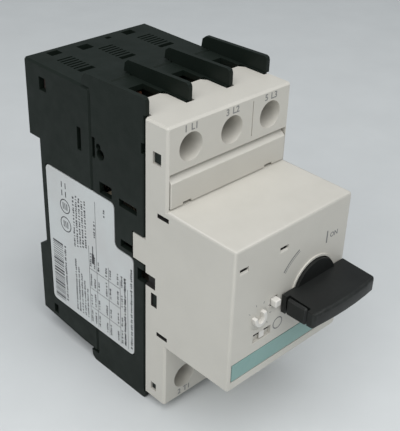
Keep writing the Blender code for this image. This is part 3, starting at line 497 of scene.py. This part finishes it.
SLOT_MATERIALS = {
    "black_plastic": BLACK,
    "grey_plastic": GREY,
    "knob_plastic": KNOB_BLACK,
    "white_plastic": WHITE,
    "mechanism_plastic": CREAM,
    "teal_strip": TEAL,
    "paper_label": PAPER,
    "steel": STEEL,
    "spring_steel": SPRING,
    "copper": COPPER,
    "bimetal": BIMETAL,
    "arc_fibre": FIBRE,
}
SLOT_OF = {row["node"]: row["material_slot"] for row in frame["record"]["subparts"]}
BODY_OF = {
    node: body for body, nodes in frame["record"]["behaviour"]["bodies"].items() for node in nodes
}


# Pieces

# What counts as a flat face, in square metres, radians and shares of its area
LEAST_FLAT_AREA = 1.0e-6
LEAST_BEND, MOST_BEND = 0.02, 0.6
NEIGHBOUR_SHARE = 0.3
STRIP_BEND_COSINE = 0.72


def flat_faces(shape):
    """Indexes of the large faces that only narrow rounded strips or sharp edges bound."""
    found = set()
    for face in shape.faces:
        area = face.calc_area()
        if area < LEAST_FLAT_AREA:
            continue
        curved = any(
            other is not face
            and other.calc_area() > NEIGHBOUR_SHARE * area
            and LEAST_BEND < face.normal.angle(other.normal, 0.0) < MOST_BEND
            for edge in face.edges
            for other in edge.link_faces
        )
        if not curved:
            found.add(face.index)
    return found


def level_flat_faces(mesh):
    """Gives every corner that touches a large flat face that face's own direction."""
    shape = bmesh.new()
    shape.from_mesh(mesh)
    flat = flat_faces(shape)
    shape.free()
    at_point = {}
    for face in mesh.polygons:
        if face.index in flat:
            for corner in face.vertices:
                at_point.setdefault(corner, []).append(face.normal.copy())
    normals = [Vector(corner.vector) for corner in mesh.corner_normals]
    for face in mesh.polygons:
        for loop in face.loop_indices:
            if face.index in flat:
                normals[loop] = face.normal
                continue
            beside = at_point.get(mesh.loops[loop].vertex_index, ())
            near = [normal for normal in beside if normal.dot(face.normal) > STRIP_BEND_COSINE]
            if near:
                normals[loop] = max(near, key=face.normal.dot)
    mesh.normals_split_custom_set(normals)


def put(shape, name, body, material, angle=40.0):
    """Writes a bmesh in millimetres as a piece in metres that rides on a body."""
    bmesh.ops.scale(shape, vec=(MM,) * 3, verts=shape.verts[:])
    item = mesh_object(shape, name)
    item.data.materials.append(material)
    item.data.shade_smooth()
    item.data.set_sharp_from_angle(angle=math.radians(angle))
    level_flat_faces(item.data)
    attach(item, body)
    return item


def refined(node, name, width, cuts=(), leave=None):
    """A finer piece in place of a CAD node: its shape with finer cuts and rounded edges."""
    shape = node_shape(node)
    if cuts:
        shape = cut_away(shape, cuts)
    shape = rounded_edges(shape, width, leave=leave)
    slot = SLOT_OF[node]
    piece = put(shape, name, BODY_OF[node], SLOT_MATERIALS[slot])
    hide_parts(node)
    return piece


def carry_over_cad_nodes():
    """Gives every CAD node its slot's material."""
    for node, item in NODES.items():
        item.data.materials.clear()
        item.data.materials.append(SLOT_MATERIALS[SLOT_OF[node]])


def at_dial(point):
    """Whether a point lies on the rim of the dial's hole."""
    return math.hypot(point.x - DIAL.x, point.z - DIAL.z) < DIAL_PLATE_RADIUS + DIAL_HOLE_MARGIN


def shade_inside(cover):
    """Paints shade on the cover's inside, seen only through its slits, with a dark plastic."""
    cover.data.materials.append(SHADED_GREY)
    # Faces inside the cover take the painted shade
    for face in cover.data.polygons:
        x, y, z = face.center / MM
        within = abs(x) < COVER_HIGH.x - SKIN and SHADED_FOOT < z < SLOT_LOW.z - 2 * SKIN
        if within and y > FACE_Y + SHADED_DEPTH:
            face.material_index = 1


def make_side_pockets():
    """The cover's thin inner walls behind the snap hooks' notches in its sides, dark with painted shade."""
    for side, name in ((-1, "left_pocket_shade_wall"), (1, "right_pocket_shade_wall")):
        wall = block(sorted(side * x for x in POCKET_X), POCKET_Y, POCKET_Z)
        put(rounded_edges(wall, THIN_EDGE), name, "housing", SHADED_GREY)


def cover_cuts():
    """Fine cuts in the front cover: a groove, the strip's recess and the slits over the ledges."""
    groove = block(GROOVE_X, GROOVE_Y, GROOVE_Z)
    recess = block(
        (STRIP_LOW.x - STRIP_MARGIN, STRIP_HIGH.x + STRIP_MARGIN),
        (FACE_Y - 0.5, STRIP_HIGH.y + STRIP_MARGIN),
        (STRIP_LOW.z - STRIP_BELOW - STRIP_MARGIN, STRIP_HIGH.z + STRIP_ABOVE + STRIP_MARGIN),
    )
    slits = []
    for x in LEDGE_CENTRES:
        width = (x - LEDGE_HALF_WIDTH, x + LEDGE_HALF_WIDTH)
        slits.append(block(width, LEDGE_SLIT_Y, LEDGE_SLIT_Z))
    slits.append(block(TEST_SLIT_X, TEST_SLIT_Y, TEST_SLIT_Z))
    return [groove, recess, *slits]


def make_shells():
    """The two housings, the front cover with its painted-shade inside and pocket walls, and the cover of the
    auxiliary slot.
    """
    cover = refined("front_cover", "cover_moulding", COVER_EDGE, cover_cuts(), at_dial)
    shade_inside(cover)
    refined("body_housing", "body_moulding", HOUSING_EDGE)
    refined("base_housing", "base_moulding", HOUSING_EDGE)
    refined("auxiliary_slot_cover", "slot_cover_moulding", SMALL_EDGE)
    make_side_pockets()


def make_strip():
    """The coloured film below the controls, in its recess."""
    height = (STRIP_LOW.z - STRIP_BELOW, STRIP_HIGH.z + STRIP_ABOVE)
    film = block((STRIP_LOW.x, STRIP_HIGH.x), (STRIP_LOW.y, STRIP_HIGH.y), height, FILM_EDGE)
    piece = put(film, "front_film", "housing", TEAL)
    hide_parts("front_strip")


# Printed marks

# On the face, from the knob's centre or round the dial; the arc and the ticks turn in degrees
ON_TEXT_AT, ON_TEXT_SIZE = (7.2, 13.0), 2.1
ON_BAR_X, ON_BAR_Z = (4.0, 4.5), (11.2, 15.0)
OFF_RING_AT, OFF_RING_RADIUS, OFF_RING_WIDTH = (-13.4, -6.5), 1.9, 0.35
ARC_LINES = ((15.9, 0.42), (15.1, 0.2))
ARC_START, ARC_END = 117.0, 144.0
FIRST_TICK, TICK_STEP, TICK_COUNT = 140, 36, 6
TICK_REACH, TICK_HALF_WIDTH = (4.3, 5.0), 0.09
TERMINAL_TEXT, TERMINAL_RISE = 2.6, 5.3
TERMINAL_SHIFTS = (-1.9, 1.1)

# On the label
LETTER_WIDTHS, LETTER_GAPS = (0.3, 0.75), (0.22, 0.22, 0.6)
LETTER_FEET, LETTER_TOPS = (0.0, 0.0, 0.12), (0.8, 1.0)
SHORTEST_LETTER = 0.4
CODE_WIDTHS, CODE_GAPS = (0.22, 0.22, 0.42, 0.66), (0.28, 0.42, 0.6)
SMALL_PRINT, ROW_PITCH = 0.75, 1.35
RULE_WIDTH = 0.16
RULE_START, RULE_END, RULE_SHORTENING = 1.0, 29.0, 1.6
RULE_DEPTHS = (19.4, 23.0, 28.4, 33.6, 36.9)
LONG_RULE, LONG_RULE_EXTRA = 1, 18.0
COLUMN_RULES = (7.0, 14.0, 21.0)
COLUMN_STARTS = (1.6, 8.0, 15.0, 22.0)
CELL_LENGTHS = (3.4, 5.2)


def ring(centre, radius, width, place):
    """A printed ring on a plane."""
    count = 40
    curve = bpy.data.curves.new("ring", "CURVE")
    curve.dimensions = "2D"
    curve.fill_mode = "BOTH"
    curve.extrude = INK_THICK / 2
    for size in (radius, radius - width):
        spline = curve.splines.new("POLY")
        spline.points.add(count - 1)
        for number, point in enumerate(spline.points):
            angle = 2 * math.pi * number / count
            point.co = (centre[0] + size * math.cos(angle), centre[1] + size * math.sin(angle), 0.0, 1.0)
        spline.use_cyclic_u = True
    return curve_shape(curve, place)


def bar(u, v, place):
    """A printed rectangle on a plane, from its spans."""
    return slab([(u[0], v[0]), (u[1], v[0]), (u[1], v[1]), (u[0], v[1])], INK_THICK, place)


def arc_bar(centre, radius, width, start, end, place):
    """A printed arc on a plane, from start to end in degrees."""
    steps = 14
    angles = [math.radians(start + (end - start) * step / steps) for step in range(steps + 1)]
    outline = [(radius * math.cos(a), radius * math.sin(a)) for a in angles]
    inside = radius - width
    outline += [(inside * math.cos(a), inside * math.sin(a)) for a in reversed(angles)]
    return slab([(centre[0] + u, centre[1] + v) for u, v in outline], INK_THICK, place)


def text_row(draw, u, v, height, place):
    """A row of short bars along u that reads as small print."""
    shapes = []
    at = u[0]
    while at < u[1] - SHORTEST_LETTER:
        width = min(draw.uniform(*LETTER_WIDTHS), u[1] - at)
        low = v + draw.choice(LETTER_FEET) * height
        shapes.append(bar((at, at + width), (low, v + height * draw.choice(LETTER_TOPS)), place))
        at += width + draw.choice(LETTER_GAPS)
    return shapes


def make_face_marks():
    """On and off marks, the arc over the knob and the ticks round the dial."""
    place = front_plane(0.0, FACE_Y - INK_THICK / 2, 0.0)
    on_text = place @ Matrix.Translation((KNOB.x + ON_TEXT_AT[0], KNOB.z + ON_TEXT_AT[1], 0.0))
    off_at = (KNOB.x + OFF_RING_AT[0], KNOB.z + OFF_RING_AT[1])
    shapes = [
        bar([KNOB.x + x for x in ON_BAR_X], [KNOB.z + z for z in ON_BAR_Z], place),
        lettering("ON", ON_TEXT_SIZE, on_text),
        ring(off_at, OFF_RING_RADIUS, OFF_RING_WIDTH, place),
    ]
    for radius, width in ARC_LINES:
        shapes.append(arc_bar((KNOB.x, KNOB.z), radius, width, ARC_START, ARC_END, place))
    for number in range(TICK_COUNT):
        turn = Matrix.Rotation(math.radians(FIRST_TICK - TICK_STEP * number), 4, "Z")
        tick = place @ Matrix.Translation((DIAL.x, DIAL.z, 0.0)) @ turn
        shapes.append(bar(TICK_REACH, (-TICK_HALF_WIDTH, TICK_HALF_WIDTH), tick))
    put(merged(shapes), "face_marks", "housing", INK)


def make_terminal_marks():
    """Terminal numbers over the upper wells and under the lower ones."""
    y = TERMINAL_FACE_Y - INK_THICK / 2
    shapes = []
    for number, x in enumerate(POLES):
        for first, letter, z in ((1, "L", LINE_Z + TERMINAL_RISE), (2, "T", LOAD_Z - TERMINAL_RISE)):
            texts = (str(2 * number + first), letter + str(number + 1))
            for text, shift in zip(texts, TERMINAL_SHIFTS):
                shapes.append(lettering(text, TERMINAL_TEXT, front_plane(x + shift, y, z)))
    put(merged(shapes), "terminal_marks", "housing", INK)


def bar_code(draw, z, y, place):
    """Bars of a few widths along the label."""
    shapes = []
    at = z[0]
    while at < z[1]:
        width = draw.choice(CODE_WIDTHS)
        shapes.append(bar((at, at + width), y, place))
        at += width + draw.choice(CODE_GAPS)
    return shapes


def generic_marks(rear, top, place):
    """Two rings with three bars in each, and two pairs of short bars."""
    shapes = []
    for number, z in enumerate((top - 11.0, top - 17.2)):
        shapes.append(ring((z, rear - 8.6), 2.4 + 0.2 * number, 0.34, place))
        for step in range(3):
            low = rear - 9.7 + 0.9 * step
            shapes.append(bar((z - 1.1, z + 1.1), (low, low + 0.4), place))
    for z in (top - 4.9, top - 7.7):
        for low in (rear - 9.4, rear - 7.6):
            shapes.append(bar((z, z + 1.9), (low, low + 0.4), place))
    return shapes


def ruled_table(draw, foot, rules, place):
    """Ruled lines with small print in their cells."""
    shapes = []
    for number, y in enumerate(rules):
        end = foot + RULE_END - RULE_SHORTENING * number
        if number == LONG_RULE:
            end += LONG_RULE_EXTRA
        shapes.append(bar((foot + RULE_START, end), (y, y + RULE_WIDTH), place))
    for z in (foot + along for along in COLUMN_RULES):
        shapes.append(bar((z, z + RULE_WIDTH), (rules[3], rules[0]), place))
    for low, high in zip(rules[1:], rules):
        for z in (foot + along for along in COLUMN_STARTS):
            for line in range(2):
                y = low + 0.8 + (high - low - 1.8) * line
                shapes += text_row(draw, (z, z + draw.uniform(*CELL_LENGTHS)), y, SMALL_PRINT, place)
    return shapes


def screwdriver_mark(z, y, place):
    """A blade with its handle, seen from the side."""
    blade, handle = 0.2, 0.55
    upper = [(0.0, handle), (3.6, handle), (3.6, blade), (6.2, blade)]
    outline = upper + [(u, -v) for u, v in reversed(upper)]
    return slab([(u + z, v + y) for u, v in outline], INK_THICK, place)


def make_label_print():
    """Generic print on the label: a bar code, two round marks, small print and a ruled table."""
    draw = random.Random(8)
    place = side_plane(LABEL_LOW.x - INK_THICK / 2 + 0.005, 0.0, 0.0)
    rear, top, foot = LABEL_HIGH.y, LABEL_HIGH.z, LABEL_LOW.z
    rules = [rear - depth for depth in RULE_DEPTHS]
    shapes = bar_code(draw, (foot + 1.6, foot + 22.6), (rear - 6.4, rear - 1.4), place)
    shapes += text_row(draw, (foot + 2.4, foot + 23.0), rear - 7.9, 0.9, place)
    shapes += generic_marks(rear, top, place)
    for row in range(5):
        y = rear - 13.0 - ROW_PITCH * row
        shapes += text_row(draw, (top - 23.0 + 0.5 * row, top - 5.0), y, SMALL_PRINT, place)
        shapes += text_row(draw, (foot + 2.0, foot + 21.0 - 2.0 * row), y, SMALL_PRINT, place)
    shapes += ruled_table(draw, foot, rules, place)
    shapes += text_row(draw, (foot + 2.0, foot + 31.0), rules[4] - 2.0, 0.85, place)
    shapes += text_row(draw, (foot + 2.0, foot + 26.0), rules[4] + 0.9, 0.8, place)
    shapes.append(screwdriver_mark(top - 25.0, rear - 21.2, place))
    shapes += text_row(draw, (top - 15.4, top - 9.4), rear - 22.6, 0.8, place)
    shapes += text_row(draw, (top - 6.4, top - 3.4), rear - 27.2, 0.7, place)
    put(merged(shapes), "label_print", "housing", DARK_INK)


# Controls


def u_line(radius):
    """A line down one arm of the dial's U, round its foot and up the other arm."""
    half_turn = [math.pi * step / 12 for step in range(13)]
    foot = [(-radius * math.cos(a), -radius * math.sin(a)) for a in half_turn]
    return [(-radius, DIAL_RIM_REACH), *foot, (radius, DIAL_RIM_REACH)]


def make_dial():
    """The dial: its raised U in white and the plate behind it in the grey of the face."""
    centre = (DIAL.x, DIAL.z)
    plate = rod(DIAL_PLATE_Y, centre, DIAL_PLATE_RADIUS, 64)
    put(rounded_edges(plate, DIAL_PLATE_EDGE), "dial_plate", "dial", GREY)
    outline = u_line(DIAL_RIM_OUTER) + u_line(DIAL_RIM_INNER)[::-1]
    turn = Matrix.Rotation(DIAL_OPENING, 4, "Z") @ Matrix.Translation((0, DIAL_RIM_SHIFT, 0))
    rim = slab(outline, DIAL_RIM_THICK, front_plane(DIAL.x, DIAL_RIM_Y, DIAL.z) @ turn)
    stem = rod(DIAL_STEM_Y, centre, DIAL_STEM_RADIUS, 24)
    shape = merged([rounded_edges(rim, DIAL_RIM_EDGE, 3), rounded_edges(stem, THIN_EDGE)])
    piece = put(shape, "dial_moulding", "dial", WHITE)
    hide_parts("setting_dial")


def grip_corners(shape):
    """Edges at the grip's far end and along its front, apart from the padlock slide's seat."""
    low, high = box_mm("rotary_knob")
    corners = []
    for edge in shape.edges:
        sharp = edge.is_manifold and edge.calc_face_angle(0.0) > GRIP_SHARP_ANGLE
        ends = [point.co for point in edge.verts]
        before_disc = all(end.y < DISC_Y for end in ends)
        far_end = all(end.x > high.x - GRIP_END_BAND for end in ends)
        front = all(end.y < low.y + GRIP_FRONT_BAND for end in ends)
        beside_seat = all(abs(end.z - KNOB.z) > PADLOCK_SEAT_HALF for end in ends)
        on_grip = before_disc and (far_end or (front and beside_seat))
        if sharp and on_grip and edge.calc_length() > SHORTEST_GRIP_EDGE:
            corners.append(edge)
    return corners


def make_knob():
    """The knob, with a generous radius on the grip's outer corners."""
    shape = node_shape("rotary_knob")
    corners = grip_corners(shape)
    # The grip's rounded strips are marked to be lightened for wear and as a painted highlight
    worn_and_highlit = shape.faces.layers.float.new(WORN_AND_HIGHLIT_EDGE)
    strips = bmesh.ops.bevel(
        shape, geom=corners, offset=GRIP_RADIUS, offset_type="OFFSET", segments=4, profile=0.5, affect="EDGES"
    )
    for face in strips["faces"]:
        face[worn_and_highlit] = 1.0
    piece = put(shape, "knob_moulding", "knob", KNOB_BLACK, 34.0)
    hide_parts("rotary_knob")


def make_test_slide():
    """The test slide, with a pad narrower than its CAD solid's."""
    low, high = box_mm("test_slide")
    spare_x = (low.x + TEST_PAD_WIDTH, high.x + 1)
    spare = block(spare_x, (low.y - 1, FACE_Y + 1.0), (low.z - 1, high.z + 1))
    refined("test_slide", "test_slide_moulding", CONTROL_EDGE, [spare])


def make_controls():
    """What the hand works on the front."""
    make_knob()
    refined("padlock_slide", "padlock_slide_moulding", SMALL_EDGE)
    make_dial()
    make_test_slide()
    refined("lockout_pin", "lockout_pin_moulding", CONTROL_EDGE)


carry_over_cad_nodes()
make_shells()
make_strip()
make_controls()
make_face_marks()
make_terminal_marks()
make_label_print()


# Floor, light and camera

CAMERA_AT = (-0.14963, -0.14983, 0.18274)
CAMERA_AZIMUTH = -45.213
CAMERA_ELEVATION = 31.4145
CAMERA_ROLL = 2.189
CAMERA_LENS = 72.67

SCENE_MIDDLE = (0.0, 0.0, 0.05)
KEY_AT, KEY_SIZE, KEY_POWER = (-0.10, -0.32, 0.74), 1.05, 6.0
FILL_AT, FILL_SIZE, FILL_POWER = (-0.65, -0.12, 0.5), 0.6, 2.1
SKY_COLOUR, SKY_STRENGTH = (0.80, 0.86, 0.90, 1.0), 0.33
FLOOR_HALF_SIZE = 3.0
FLOOR_COLOURS = (0.62, 0.64, 0.645), (0.65, 0.67, 0.675)


def make_camera():
    """The camera at the photograph's angle, rolled a little as the photograph is."""
    azimuth, elevation, roll = (math.radians(a) for a in (CAMERA_AZIMUTH, CAMERA_ELEVATION, CAMERA_ROLL))
    level = math.cos(elevation)
    back = Vector((math.sin(azimuth) * level, -math.cos(azimuth) * level, math.sin(elevation)))
    right = (-back).cross(Vector((0, 0, 1))).normalized()
    up = right.cross(-back)
    turned_right = math.cos(roll) * right + math.sin(roll) * up
    turned_up = -math.sin(roll) * right + math.cos(roll) * up
    camera = bpy.data.objects.new("camera", bpy.data.cameras.new("camera"))
    camera.data.lens = CAMERA_LENS
    camera.data.clip_start = 0.01
    camera.data.clip_end = 20.0
    place = Matrix((turned_right, turned_up, back)).transposed().to_4x4()
    place.translation = Vector(CAMERA_AT)
    camera.matrix_world = place
    bpy.context.scene.collection.objects.link(camera)
    bpy.context.scene.camera = camera


def make_floor():
    """A plain pale floor that the breaker stands on."""
    shape = bmesh.new()
    bmesh.ops.create_grid(shape, x_segments=1, y_segments=1, size=FLOOR_HALF_SIZE)
    floor = mesh_object(shape, "floor")
    material, tree, shader = node_material("pale_floor")
    fibre = spread(tree, noise(tree, 40.0, 6.0), 0.3, 0.7, 0.0, 1.0)
    tree.links.new(blended(tree, fibre, *FLOOR_COLOURS), shader.inputs["Base Color"])
    shader.inputs["Roughness"].default_value = 0.8
    bump(tree, shader, noise(tree, 900.0, 4.0), 0.00004, 0.3)
    floor.data.materials.append(material)


def make_light(name, place, size, power):
    """A round area light that points at the middle of the breaker."""
    light = bpy.data.lights.new(name, "AREA")
    light.shape = "DISK"
    light.size = size
    light.energy = power
    item = bpy.data.objects.new(name, light)
    item.location = place
    item.rotation_euler = (Vector(SCENE_MIDDLE) - Vector(place)).to_track_quat("-Z", "Y").to_euler()
    bpy.context.scene.collection.objects.link(item)


def make_world():
    """Soft light from all round."""
    world = bpy.data.worlds.new("studio")
    world.use_nodes = True
    shader = world.node_tree.nodes["Background"]
    shader.inputs["Color"].default_value = SKY_COLOUR
    shader.inputs["Strength"].default_value = SKY_STRENGTH
    bpy.context.scene.world = world


make_camera()
make_floor()
make_world()
make_light("key", KEY_AT, KEY_SIZE, KEY_POWER)
make_light("fill", FILL_AT, FILL_SIZE, FILL_POWER)
bpy.context.scene.view_settings.view_transform = "Standard"
